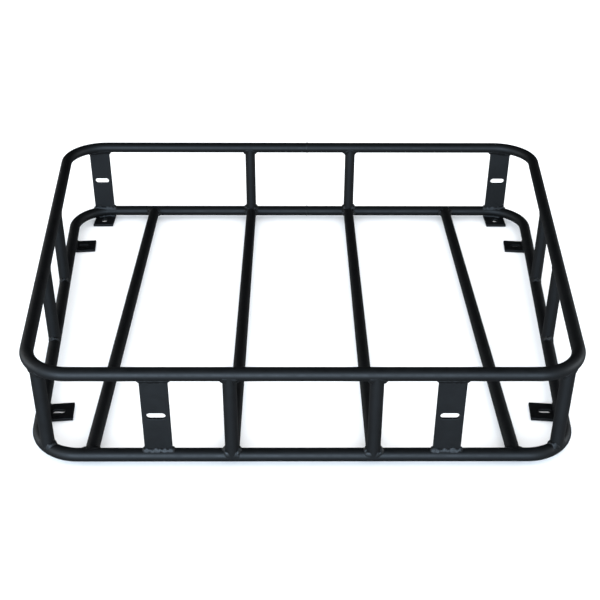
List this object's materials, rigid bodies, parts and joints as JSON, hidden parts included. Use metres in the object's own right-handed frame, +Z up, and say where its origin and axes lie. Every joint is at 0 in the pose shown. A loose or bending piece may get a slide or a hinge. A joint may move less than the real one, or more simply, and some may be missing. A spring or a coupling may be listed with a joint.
{
  "type": "cargo basket",
  "caption": "Open welded basket of bent round tube with a wider rear, slotted end plates and mounting tabs, for carrying loads on a roof or rack.",
  "frame": {"origin": "middle of the underside, on the plane of the mounting tabs' lower faces", "axes": "+X to the right across the basket, +Y to the wide rear, +Z up"},
  "size_m": [1.2004, 1.0306, 0.2138],
  "materials": {
    "tube_coat": "satin black powder coat",
    "plate_coat": "satin black powder coat",
    "weld_metal": "satin black powder coat over weld metal"
  },
  "bodies": {
    "root": {"bottom_rail": "tube_coat", "top_rail": "tube_coat", "bottom_rail_seam": "weld_metal", "top_rail_seam": "weld_metal", "floor_tube_left_outer": "tube_coat", "floor_tube_left_inner": "tube_coat", "floor_tube_right_inner": "tube_coat", "floor_tube_right_outer": "tube_coat", "front_post_left": "tube_coat", "front_post_right": "tube_coat", "rear_post_left": "tube_coat", "rear_post_right": "tube_coat", "corner_post_left": "tube_coat", "corner_post_right": "tube_coat", "side_post_left_front": "tube_coat", "side_post_left_rear": "tube_coat", "side_post_right_front": "tube_coat", "side_post_right_rear": "tube_coat", "front_plate_left": "plate_coat", "front_plate_right": "plate_coat", "rear_plate_left": "plate_coat", "rear_plate_right": "plate_coat", "side_tab_left_front": "plate_coat", "side_tab_left_rear": "plate_coat", "side_tab_right_front": "plate_coat", "side_tab_right_rear": "plate_coat", "rear_tab_left": "plate_coat", "rear_tab_right": "plate_coat"}
  },
  "joints": []
}
